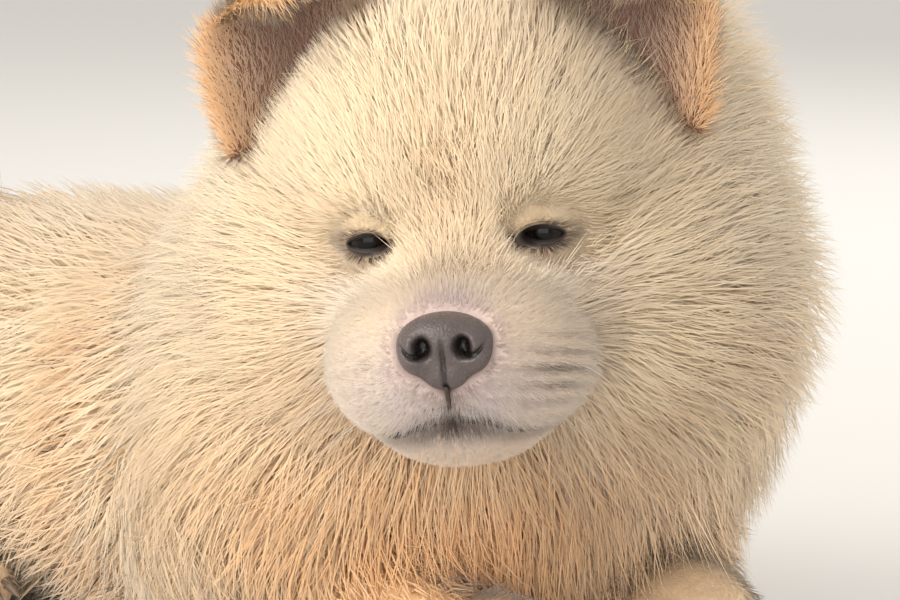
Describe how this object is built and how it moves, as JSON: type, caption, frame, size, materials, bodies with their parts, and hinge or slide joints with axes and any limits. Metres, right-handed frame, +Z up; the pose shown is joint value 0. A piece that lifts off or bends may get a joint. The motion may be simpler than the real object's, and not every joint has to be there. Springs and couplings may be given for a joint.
{
  "type": "chow chow puppy",
  "caption": "Life-size still figure of a cream chow chow puppy lying on its chest, head raised and turned to its right, with a deep ruff, small folded ears and a curled tail.",
  "frame": {"origin": "on the floor, at the middle of the underside of the bounding box", "axes": "+Z up, -Y the way the chest faces, +Y towards the rump and tail, +X to the puppy's left; the head looks to -X and -Y"},
  "size_m": [0.2546, 0.51, 0.286],
  "materials": {
    "coat": "soft cream coat, deeper apricot on the chest and in the folds",
    "ear_fur": "short apricot fur with brownish pink skin in the cup",
    "paw": "short pale cream fur",
    "nose": "fine-grained, slightly moist dark greyish brown skin",
    "eye": "wet, very dark brown"
  },
  "bodies": {
    "root": {"eye_left": "eye", "eye_right": "eye", "nose": "nose", "ear_left": "ear_fur", "ear_right": "ear_fur", "head": "coat", "lower_jaw": "coat", "forepaw_left": "paw", "forepaw_right": "paw", "foreleg_left": "coat", "foreleg_right": "coat", "neck": "coat", "hindpaw_left": "paw", "hindpaw_right": "paw", "hindleg_left": "coat", "hindleg_right": "coat", "thigh_left": "coat", "thigh_right": "coat", "tail": "coat", "torso": "coat"}
  },
  "joints": []
}
